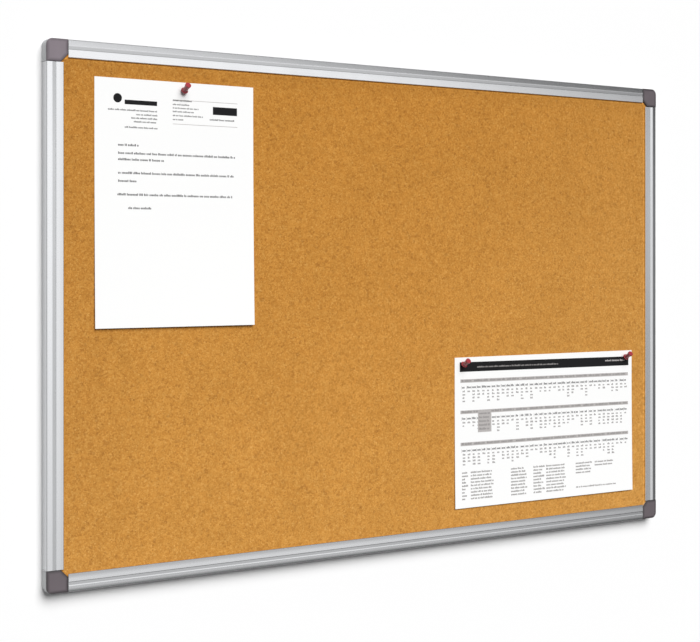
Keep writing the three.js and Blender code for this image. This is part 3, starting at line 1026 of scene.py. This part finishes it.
@dataclass
class CornerCaps:
    """The four press-fit caps, each a crowned plate with two pegs.

    One of them has a lighter tone of the same plastic, because it looks lighter in the photograph.
    """

    face: float = 25.0
    plate: float = 1.7
    proud: float = 0.1
    end_radius: float = 0.5
    least_radius: float = 0.35
    under_edge: float = 0.15
    chamfer: float = 8.5
    chamfer_radius: float = 6.0
    edge_radius: float = 0.8
    crown: float = 0.35
    crown_reach: float = 4.0
    peg_radius: float = 1.5
    peg_length: float = 8.0
    peg_tip: float = 0.7
    peg_across: float = 3.4
    peg_along: float = 20.9
    corner_steps: int = 14
    edge_steps: int = 8
    crown_steps: int = 6
    peg_steps: int = 32
    colour: Colour = (0.110, 0.091, 0.101)
    lighter_corner: str = "top_left"
    lighter_colour: Colour = (0.195, 0.164, 0.185)
    lighter_cap_rim_shade: float = 0.62

    def outline(self, inset: float) -> list[Point]:
        """The cap's outline in its corner frame, drawn in by an inset."""
        near, far, short = 0.0, self.face, self.face - self.chamfer
        points = [(near, -near), (near, -far), (short, -far), (far, -short), (far, -near)]
        end, bend = self.end_radius, self.chamfer_radius
        radii = (CORNER_RADIUS, end, bend, bend, end)
        drawn: list[Corner] = []
        for i, (u, v) in enumerate(points):
            corner = Vector((u, v))
            before = (corner - Vector(points[i - 1])).normalized()
            after = (Vector(points[(i + 1) % len(points)]) - corner).normalized()
            first, second = Vector((-before.y, before.x)), Vector((-after.y, after.x))
            shift = (first + second) / (1 + first.dot(second)) * inset
            drawn.append((*(corner + shift), max(radii[i] - inset, self.least_radius)))
        return rounded(drawn, self.corner_steps)

    def plate_form(self) -> Form:
        """The crowned plate, its edge rounded into a gently domed face."""
        edge = FRAME_DEPTH + self.proud
        under = edge - self.plate
        levels = [(self.outline(self.under_edge), under), (self.outline(0.0), under + self.under_edge)]
        for step in range(self.edge_steps + 1):
            angle = step / self.edge_steps * math.pi / 2
            inset = self.edge_radius * (1 - math.cos(angle))
            levels.append((self.outline(inset), edge - self.edge_radius * (1 - math.sin(angle))))
        for step in range(1, self.crown_steps + 1):
            share = step / self.crown_steps
            inset = self.edge_radius + (self.crown_reach - self.edge_radius) * share
            levels.append((self.outline(inset), edge + self.crown * math.sin(share * math.pi / 2)))
        return lofted(levels)

    def peg_forms(self) -> list[Form]:
        """The two pegs that press into the key."""
        edge = FRAME_DEPTH + self.proud
        root = self.plate / 2 - edge
        end = self.plate + self.peg_length - edge
        profile = [
            (0.0, end),
            (self.peg_radius - self.peg_tip, end),
            (self.peg_radius, end - self.peg_tip),
            (self.peg_radius, root),
            (0.0, root),
        ]
        places = ((self.peg_along, -self.peg_across), (self.peg_across, -self.peg_along))
        peg = turned(profile, self.peg_steps)
        return [peg.moved(Matrix.Translation((x, 0.0, z))) for x, z in places]

    def build(self) -> None:
        """Builds the four caps on their own bodies."""
        # The caps' rims carry painted shade.
        rim = RimPaintedShade(self.face, self.chamfer)
        plain = Moulded("cap_plastic", self.colour, 0.42, gloss=1.0, rim=rim)
        # The top-left cap is a lighter tone, with less painted shade at its rim.
        lighter_cap = replace(
            plain, name="cap_plastic_lighter", colour=self.lighter_colour,
            rim=replace(rim, dark=self.lighter_cap_rim_shade),
        )
        finishes = {plain: plain.material(), lighter_cap: lighter_cap.material()}
        for corner in CORNERS:
            matrix = corner.matrix()
            name = f"corner_cap_moulding_{corner.corner}"
            cap = self.plate_form().moved(matrix).made(name)
            tools = [form.moved(matrix).made(f"{name}_{i}") for i, form in enumerate(self.peg_forms())]
            softened(combined(cap, tools, Way.JOIN), ROUND_EDGES)
            dressed(cap, finishes[lighter_cap if corner.corner == self.lighter_corner else plain])
            settle(cap, f"cap_{corner.corner}", [f"corner_cap_{corner.corner}"])


@dataclass
class Panel:
    """The cork, its softboard core and the backing sheet, with the corner keys beside them."""

    softboard: Colour = (0.47, 0.36, 0.21)
    backing: Colour = (0.33, 0.25, 0.15)
    keys: Colour = (0.52, 0.53, 0.54)

    def build(self) -> None:
        """Gives the panel's layers and the keys their finishes."""
        wear(["cork_sheet"], Cork().material())
        wear(["softboard_core"], Fibre("softboard", self.softboard).material())
        wear(["backing_sheet"], Fibre("backing_board", self.backing).material())
        keys = [f"corner_key_{corner.corner}" for corner in CORNERS]
        wear(keys, Moulded("key_plastic", self.keys, 0.55).material())


# The notices


@dataclass(frozen=True)
class Strokes:
    """The short strokes that stand for print, their sizes as shares of their height."""

    in_word: tuple[int, int] = (2, 9)
    width: Band = (0.45, 0.85)
    rise: float = 0.35
    rising: float = 0.25
    gap: float = 0.2
    word_gap: float = 0.55


@dataclass
class Notice:
    """A paper notice with its place, its curl and the places of its pins, measured on the board."""

    name: str
    left: float
    top: float
    width: float
    height: float
    curl: Band
    pins: tuple[tuple[str, float, float], ...]
    flat_band: float = 30.0
    wave: float = 0.22
    wave_turn: float = 7.3
    wave_start: float = 1.1
    wave_end: float = 1.2
    leaf_pitch: float = 6.0
    mark_pitch: Point = (8.0, 6.0)
    mark_sink: float = 0.05
    mark_lift: float = 0.035
    slope: float = 0.0
    hole_radius: float = 0.85
    hole_below: float = 12.0
    hole_above: float = 4.0
    hole_steps: int = 24
    strokes: Strokes = Strokes()
    marks: dict[Weight, Form] = field(default_factory=dict)

    def depth(self, x: float, z: float) -> float:
        """How far forward the back of the paper is at a place on it."""
        fall = max(0.0, self.top - self.flat_band - z) / (self.height - self.flat_band)
        across = (x - self.left) / self.width
        curl = self.curl[0] + (self.curl[1] - self.curl[0]) * across
        turn = across * self.wave_turn + self.wave_start
        ripple = self.wave * (1 - math.cos(turn)) * fall * (self.wave_end - fall)
        return SHEET_BACK + curl * fall ** 2 + ripple

    def place(self, x: float, z: float, lift: float) -> Vector:
        """The point at a place on the paper, a lift forward of its back."""
        return Vector((x, -self.depth(x, z) - lift, z))

    def print_place(self, x: float, z: float, lift: float) -> Vector:
        """The same for the print, which can be a little tilted on the paper."""
        return self.place(x, z - self.slope * (x - self.left), lift)

    def leaf(self) -> Form:
        """The paper as a thin closed sheet."""
        form = Form()
        xs = spread(self.left, self.width, round(self.width / self.leaf_pitch))
        zs = spread(self.top, -self.height, round(self.height / self.leaf_pitch))
        form.add_sheet(self.place, xs, zs, (0.0, SHEET_THICKNESS))
        return form

    def mark(
        self, weight: Weight, left: float, right: float, low: float, high: float, over: float = 0.0
    ) -> None:
        """Prints one plain bar on the paper.

        Args:
            weight: How dark it is.
            left: Its left end, in from the board's left side.
            right: Its right end.
            low: Its lower edge, up from the board's lower side.
            high: Its upper edge.
            over: How far it stands in front of the bars under it.
        """
        form = self.marks.setdefault(weight, Form())
        x0, x1 = left - HALF_WIDTH, right - HALF_WIDTH
        z0, z1 = low - HALF_HEIGHT, high - HALF_HEIGHT
        across, up = self.mark_pitch
        xs = spread(x0, x1 - x0, max(1, math.ceil((x1 - x0) / across)))
        zs = spread(z0, z1 - z0, max(1, math.ceil((z1 - z0) / up)))
        proud = SHEET_THICKNESS + self.mark_lift + over
        form.add_sheet(self.print_place, xs, zs, (SHEET_THICKNESS - self.mark_sink, proud))

    def disc(self, weight: Weight, centre: Point, radius: float, steps: int = 28) -> None:
        """Prints one plain disc on the paper."""
        form = self.marks.setdefault(weight, Form())
        start = len(form.points)
        ring = arc(centre, radius, 0.0, 360.0 * (steps - 1) / steps, steps - 1)
        for lift in (SHEET_THICKNESS - self.mark_sink, SHEET_THICKNESS + self.mark_lift):
            form.points.extend(self.place(u - HALF_WIDTH, v - HALF_HEIGHT, lift) for u, v in ring)
        form.faces.append(tuple(range(start, start + steps)))
        form.faces.append(tuple(range(start + steps, start + 2 * steps)))
        for i in range(steps):
            beside = (i + 1) % steps
            form.faces.append((start + i, start + beside, start + steps + beside, start + steps + i))

    def words(
        self, weight: Weight, left: float, right: float, middle: float, tall: float,
        draw: random.Random, over: float = 0.0,
    ) -> None:
        """Prints a line of short plain strokes, in groups that stand for words.

        Args:
            weight: How dark they are.
            left: Where the line starts.
            right: Where it ends.
            middle: The height of its middle.
            tall: How tall most strokes are.
            draw: The source of the strokes' sizes.
            over: How far they stand in front of the bars under them.
        """
        strokes = self.strokes
        x = left
        while x < right - tall:
            for _ in range(draw.randint(*strokes.in_word)):
                end = x + tall * draw.uniform(*strokes.width)
                if end > right:
                    break
                rise = strokes.rise * tall if draw.random() < strokes.rising else 0.0
                self.mark(weight, x, end, middle - tall / 2, middle + tall / 2 + rise, over)
                x = end + strokes.gap * tall
            x += strokes.word_gap * tall

    def build(self, paper: bpy.types.Material, inks: dict[Weight, bpy.types.Material]) -> None:
        """Builds the paper and its print.

        Args:
            paper: The finish of the sheet.
            inks: The finish of each weight of print.
        """
        sheet = self.leaf().made(f"{self.name}_paper")
        line = rectangle((0.0, -self.hole_below), (self.hole_radius, self.hole_above))
        hole = turned(line, self.hole_steps)
        holes = [hole.moved(pin_matrix(x, z)).made(f"{pin}_hole") for pin, x, z in self.pins]
        softened(combined(sheet, holes, Way.CUT))
        dressed(sheet, paper)
        settle(sheet, self.name, [f"{self.name}_sheet"])
        for weight, form in self.marks.items():
            marks = form.made(f"{self.name}_print_{weight.value}")
            dressed(marks, inks[weight])
            settle(marks, self.name)


def pin_matrix(x: float, z: float) -> Matrix:
    """The frame of a leaning pin, its Y axis out along the needle, from where it enters the paper."""
    lean = Matrix.Rotation(math.radians(180.0 - PIN_LEAN), 4, "X")
    return Matrix.Translation((x, -SHEET_FRONT, z)) @ lean


@dataclass
class Notices:
    """The letter and the year planner, with plain generic print.

    The print is measured in from the board's left side and up from its lower side.
    """

    letter_draw: int = 7
    calendar_draw: int = 11
    layer: float = 0.02
    inks: tuple[Ink, ...] = (
        Ink(Weight.BLACK, (0.012, 0.012, 0.013)),
        Ink(Weight.GREY, (0.17, 0.168, 0.17)),
        Ink(Weight.DIM, (0.30, 0.285, 0.28)),
        Ink(Weight.PALE, (0.50, 0.475, 0.465)),
    )

    def letter(self) -> Notice:
        """The upright letter on the left."""
        left, top = 56.0 - HALF_WIDTH, HALF_HEIGHT - 38.0
        pins = (("letter_pin", left + 108.6, top - 10.8),)
        notice = Notice("letter", left, top, 199.0, 277.0, (2.3, 3.4), pins)
        draw = random.Random(self.letter_draw)
        self.letter_head(notice, draw)
        rows = (
            (488.0, 84.0, 110.0), (479.0, 84.0, 232.0), (472.0, 84.0, 140.0), (457.0, 84.0, 230.0),
            (448.0, 84.0, 108.0), (433.0, 83.0, 228.0), (418.0, 96.0, 126.0),
        )
        for middle, start, end in rows:
            notice.words(Weight.GREY, start, end, middle, 1.9, draw)
        return notice

    @staticmethod
    def letter_head(notice: Notice, draw: random.Random) -> None:
        """Prints the head of the letter: a disc and a bar, two blocks of lines and a second bar."""
        notice.disc(Weight.BLACK, (83.5, 540.0), 5.2)
        notice.mark(Weight.BLACK, 92.0, 131.5, 533.5, 538.5)
        starts = ((527.0, 72.0), (522.5, 106.0), (518.5, 100.0), (514.5, 103.0), (508.0, 92.0))
        for middle, start in starts:
            notice.words(Weight.GREY, start, 132.0, middle, 1.4, draw)
        ends = (
            (541.0, 177.0), (536.5, 173.0), (532.5, 184.0),
            (528.5, 178.0), (524.0, 190.0), (519.5, 166.0),
        )
        for middle, end in ends:
            notice.words(Weight.GREY, 151.0, end, middle, 1.3, draw)
        notice.mark(Weight.BLACK, 202.0, 233.5, 527.5, 536.5)
        notice.words(Weight.GREY, 198.0, 232.0, 521.5, 1.5, draw)
        notice.mark(Weight.PALE, 151.0, 234.0, 541.5, 542.1)
        notice.mark(Weight.PALE, 151.0, 234.0, 514.2, 514.8)

    def calendar(self) -> Notice:
        """The wide year planner at the lower right."""
        width, height = 306.0, 193.0
        left, top = HALF_WIDTH - 45.0 - width, 43.0 + height - HALF_HEIGHT
        across, pin_top = 13.0, top - 10.5
        pins = (
            ("calendar_left_pin", left + across, pin_top),
            ("calendar_right_pin", left + width - across, pin_top),
        )
        notice = Notice("calendar", left, top, width, height, (1.4, 1.8), pins, slope=0.0075)
        draw = random.Random(self.calendar_draw)
        notice.mark(Weight.BLACK, 557.0, 849.0, 217.6, 230.0)
        notice.words(Weight.DIM, 585.0, 722.0, 223.2, 1.5, draw, self.layer)
        notice.words(Weight.PALE, 806.0, 845.0, 225.0, 1.8, draw, self.layer)
        for band in (206.0, 166.0, 125.0):
            self.months(notice, draw, band)
        notice.mark(Weight.PALE, 586.0, 608.0, 139.0, 168.0, self.layer)
        for row in range(5):
            notice.words(Weight.DIM, 588.0, 606.0, 163.0 - row * 5.0, 2.0, draw, 2 * self.layer)
        self.lists(notice, draw)
        return notice

    def months(self, notice: Notice, draw: random.Random, band: float) -> None:
        """Prints one row of months under its own pale band."""
        notice.mark(Weight.PALE, 558.0, 848.0, band - 2.4, band + 2.0)
        x = 560.0
        while x < 842.0:
            end = min(x + draw.uniform(16.0, 26.0), 846.0)
            notice.words(Weight.DIM, x, end, band - 0.2, 2.0, draw, self.layer)
            x = end + 2.5
        for column in range(36):
            x = 561.0 + column * 8.0
            notice.words(Weight.GREY, x, x + draw.uniform(5.2, 7.4), band - 8.7, 2.1, draw)
            notice.mark(Weight.PALE, x - 1.6, x - 1.1, band - 11.0, band - 6.5)
            for row in range(draw.choice((1, 2, 2, 3, 4, 4))):
                notice.words(Weight.DIM, x + 0.4, x + 4.8, band - 13.7 - row * 4.2, 1.8, draw)

    @staticmethod
    def lists(notice: Notice, draw: random.Random) -> None:
        """Prints the small blocks of lines below the months."""
        blocks = (
            (560.0, 570.0, 9), (574.0, 612.0, 9), (640.0, 668.0, 9),
            (678.0, 698.0, 9), (700.0, 736.0, 9), (752.0, 782.0, 4), (786.0, 822.0, 2),
        )
        for start, end, rows in blocks:
            for row in range(rows):
                far = end - draw.uniform(0.0, 6.0)
                notice.words(Weight.DIM, start, far, 88.0 - row * 4.2, 1.8, draw)
        notice.words(Weight.DIM, 752.0, 826.0, 56.0, 1.6, draw)

    def build(self) -> None:
        """Builds both notices and the pins that hold them."""
        paper = Paper().material()
        inks = {ink.weight: ink.material() for ink in self.inks}
        pins = PushPins()
        for notice in (self.letter(), self.calendar()):
            notice.build(paper, inks)
            for name, x, z in notice.pins:
                pins.build(name, x, z)


@dataclass
class PushPins:
    """The red push pins, each a turned head on a steel needle."""

    collar_radius: float = 4.2
    collar_thickness: float = 1.1
    collar_shoulder: float = 2.6
    grip_radius: float = 2.9
    grip_top: float = 7.4
    crown_radius: float = 3.5
    crown_start: float = 9.2
    height: float = 11.5
    edge: float = 0.5
    needle_radius: float = 0.55
    needle_seat: float = 6.0
    steps: int = 48
    curve_steps: int = 10
    plastic: bpy.types.Material | None = None
    steel: bpy.types.Material | None = None

    def lift(self) -> float:
        """How far along the needle the collar sits, so that its rim clears the paper."""
        return self.collar_radius * math.tan(math.radians(PIN_LEAN)) + SLIP_GAP

    def curve(self, start: Point, pull: Point, end: Point) -> list[Point]:
        """Points of a curve pulled towards one corner, without its first point."""
        made = []
        for step in range(1, self.curve_steps + 1):
            t = step / self.curve_steps
            a, b, c = (1 - t) ** 2, 2 * t * (1 - t), t * t
            u = a * start[0] + b * pull[0] + c * end[0]
            v = a * start[1] + b * pull[1] + c * end[1]
            made.append((u, v))
        return made

    def profile(self) -> list[Point]:
        """The head's turned profile as (radius, height)."""
        seat = self.needle_radius + FIT_GAP
        r, t, e = self.collar_radius, self.collar_thickness, self.edge
        g, c, h = self.grip_radius, self.crown_radius, self.height
        line = [(seat, 0.0), (r - e, 0.0)]
        line += self.curve((r - e, 0.0), (r, 0.0), (r, e))
        line += self.curve((r, t - e), (r, t), (r - e, t))
        line += self.curve((r - e, t), (g, t), (g, self.collar_shoulder))
        line += [(g, self.grip_top)]
        line += self.curve((g, self.grip_top), (g, self.crown_start), (c, self.crown_start))
        line += [(c, h - e)]
        line += self.curve((c, h - e), (c, h), (c - e, h))
        line += [(0.0, h), (0.0, self.needle_seat + SLIP_GAP), (seat, self.needle_seat + SLIP_GAP)]
        return [(radius, self.lift() + height) for radius, height in line]

    def build(self, name: str, x: float, z: float) -> None:
        """Builds one pin on its own body.

        Args:
            name: The pin, which is also its body.
            x: Where its needle enters the paper.
            z: The height of that place.
        """
        self.plastic = self.plastic or Gloss().material()
        self.steel = self.steel or Steel("pin_steel", (0.74, 0.75, 0.77), 0.18).material()
        head = turned(self.profile(), self.steps).moved(pin_matrix(x, z)).made(f"{name}_grip")
        softened(head, ROUND_EDGES)
        dressed(head, self.plastic)
        settle(head, name, [f"{name}_head"])
        wear([f"{name}_needle"], self.steel)


# The studio


@dataclass(frozen=True)
class LightPanel:
    """A soft bright panel of the room, where the gloss mirrors it, by its direction from the board."""

    x: float
    z: float
    wide: float
    tall: float
    level: float
    slant: float

    def glow(self, room: Nodes, x: Feed, z: Feed) -> bpy.types.NodeSocket:
        """How bright the panel is in each direction."""
        aside = room.sum("SUBTRACT", x, self.x)
        lift = room.sum("SUBTRACT", z, self.z)
        lift = room.sum("ADD", lift, room.sum("MULTIPLY", aside, self.slant))
        wide, tall = room.sum("DIVIDE", aside, self.wide), room.sum("DIVIDE", lift, self.tall)
        square = room.sum("ADD", room.sum("MULTIPLY", wide, wide), room.sum("MULTIPLY", tall, tall))
        return room.span(room.sum("SQRT", square, 0.0), (0.0, 1.0), (self.level, 0.0), True)


@dataclass
class Studio:
    """The pale wall and floor, the soft lamps, the surroundings and the camera."""

    camera_place: Place = (-1.0486, -1.5402, 0.058)
    camera_turn: float = -32.9
    sensor: float = 36.0
    lens: float = 76.83
    shift: float = -0.084
    wall_colour: Colour = (0.95, 0.95, 0.95)
    wall_half: Point = (2.6, 2.2)
    wall_lap: float = 0.0025
    wall_depth: float = 0.0004
    floor_colour: Colour = (0.90, 0.90, 0.90)
    floor_half: float = 3.2
    floor_level: float = -0.9
    key_place: Place = (0.195, -2.788, 2.106)
    key_energy: float = 3.62
    key_angle: float = 45.0
    rear_place: Place = (0.6, 2.6, 0.9)
    rear_energy: float = 60.0
    rear_size: float = 2.2
    ambient: float = 0.155
    below: float = 1.15
    above: float = 0.95
    ceiling: Band = (0.35, 0.75)
    ceiling_level: float = 0.6
    left_side: Band = (-0.8, -0.2)
    left_level: float = 0.77
    panels: tuple[LightPanel, ...] = (
        LightPanel(0.537, 0.128, 0.384, 0.150, 0.844, 0.405),
        LightPanel(0.101, -0.474, 0.676, 0.848, 0.842, -0.346),
        LightPanel(-0.014, 0.290, 0.981, 0.545, 1.375, 0.528),
        LightPanel(0.584, -0.126, 0.224, 0.377, 0.400, 0.040),
    )

    def camera(self) -> None:
        """The camera at the photograph's place and angle."""
        data = bpy.data.cameras.new("camera")
        data.lens = self.lens
        data.sensor_width = self.sensor
        data.shift_y = self.shift
        view = bpy.data.objects.new("camera", data)
        view.location = self.camera_place
        view.rotation_euler = (math.radians(90.0), 0.0, math.radians(self.camera_turn))
        bpy.context.scene.collection.objects.link(view)
        bpy.context.scene.camera = view

    def wall(self) -> None:
        """The wall behind the board, open behind it and clear from the rear."""
        recipe = Recipe("wall_paint")
        recipe.set("Base Color", (*self.wall_colour, 1.0))
        recipe.set("Roughness", 0.95)
        recipe.surface.inputs["Specular IOR Level"].default_value = 0.0
        clear = recipe.add("ShaderNodeBsdfTransparent")
        sides = recipe.add("ShaderNodeMixShader")
        recipe.put(recipe.add("ShaderNodeNewGeometry").outputs["Backfacing"], sides.inputs[0])
        recipe.put(recipe.surface.outputs["BSDF"], sides.inputs[1])
        recipe.put(clear.outputs[0], sides.inputs[2])
        recipe.put(sides.outputs[0], recipe.tree.nodes["Material Output"].inputs["Surface"])
        wide, tall = self.wall_half
        near, low = HALF_WIDTH * MM - self.wall_lap, HALF_HEIGHT * MM - self.wall_lap
        outer = rectangle((-wide, self.floor_level), (wide, tall))
        inner = rectangle((-near, -low), (near, low))
        mesh = bpy.data.meshes.new("studio_wall")
        points = [(x, self.wall_depth, z) for x, z in outer + inner]
        mesh.from_pydata(points, [], [(i, (i + 1) % 4, 4 + (i + 1) % 4, 4 + i) for i in range(4)])
        wall = bpy.data.objects.new("studio_wall", mesh)
        bpy.context.scene.collection.objects.link(wall)
        dressed(wall, recipe.material)

    def floor(self) -> None:
        """The pale floor below the board."""
        recipe = Recipe("floor_paint")
        recipe.set("Base Color", (*self.floor_colour, 1.0))
        recipe.set("Roughness", 0.9)
        half = self.floor_half
        mesh = bpy.data.meshes.new("studio_floor")
        corners = rectangle((-half, -half), (half, half))
        mesh.from_pydata([(x, y, self.floor_level) for x, y in corners], [], [(0, 1, 2, 3)])
        floor = bpy.data.objects.new("studio_floor", mesh)
        bpy.context.scene.collection.objects.link(floor)
        floor.visible_glossy = False
        floor.visible_diffuse = False
        dressed(floor, recipe.material)

    @staticmethod
    def lamp(name: str, kind: Lamp, energy: float, place: Place, size: float) -> None:
        """Adds a lamp that shines towards the board and isn't seen itself.

        Args:
            name: The lamp's name.
            kind: Even light or a panel.
            energy: How strong it is.
            place: Where it stands.
            size: The even light's spread in degrees, or the panel's side in metres.
        """
        data = bpy.data.lights.new(name, kind.value)
        data.energy = energy
        if kind is Lamp.EVEN:
            data.angle = math.radians(size)
        else:
            data.size = size
        lamp = bpy.data.objects.new(name, data)
        lamp.location = place
        lamp.rotation_euler = Vector(place).to_track_quat("Z", "Y").to_euler()
        lamp.visible_glossy = False
        lamp.visible_camera = False
        bpy.context.scene.collection.objects.link(lamp)

    def surroundings(self) -> None:
        """The bright room around the board: white to the eye, and soft panels to its gloss."""
        world = bpy.data.worlds.new("surroundings")
        bpy.context.scene.world = world
        world.use_nodes = True
        world.node_tree.nodes.clear()
        room = Nodes(world.node_tree)
        split = room.add("ShaderNodeSeparateXYZ")
        room.put(room.add("ShaderNodeTexCoord").outputs["Generated"], split.inputs[0])
        x, z = split.outputs["X"], split.outputs["Z"]
        ceiling = room.span(z, self.ceiling, (0.0, self.ceiling_level), True)
        left = room.span(x, self.left_side, (self.left_level, 0.0), True)
        gloss = room.sum("ADD", ceiling, left)
        for panel in self.panels:
            gloss = room.sum("ADD", gloss, panel.glow(room, x, z))
        below, above = self.ambient * self.below, self.ambient * self.above
        soft = room.span(z, (-1.0, 1.0), (below, above), True)
        path = room.add("ShaderNodeLightPath")
        mirrored = room.sum(
            "MAXIMUM", path.outputs["Is Glossy Ray"], path.outputs["Is Transmission Ray"]
        )
        rest = room.sum("MULTIPLY", room.sum("SUBTRACT", 1.0, mirrored), soft)
        light = room.sum("ADD", room.sum("MULTIPLY", mirrored, gloss), rest)
        camera = path.outputs["Is Camera Ray"]
        unseen = room.sum("MULTIPLY", room.sum("SUBTRACT", 1.0, camera), light)
        sky = room.add("ShaderNodeBackground")
        room.put(room.sum("ADD", camera, unseen), sky.inputs["Strength"])
        room.put(sky.outputs[0], room.add("ShaderNodeOutputWorld").inputs["Surface"])

    def build(self) -> None:
        """Builds the studio."""
        bpy.context.scene.view_settings.view_transform = "Standard"
        self.camera()
        self.wall()
        self.floor()
        self.lamp("key", Lamp.EVEN, self.key_energy, self.key_place, self.key_angle)
        self.lamp("rear", Lamp.PANEL, self.rear_energy, self.rear_place, self.rear_size)
        self.surroundings()


def main() -> None:
    """Builds the board's sub-assemblies in order, then the studio."""
    logging.basicConfig(level=logging.INFO, format="%(message)s")
    steps: tuple[tuple[str, Callable[[], None]], ...] = (
        ("rails", Rails().build),
        ("corner caps", CornerCaps().build),
        ("panel and keys", Panel().build),
        ("notices and pins", Notices().build),
        ("studio", Studio().build),
    )
    for name, build in steps:
        build()
        log.info("built the %s", name)
    bpy.context.view_layer.update()


if __name__ == "__main__":
    main()
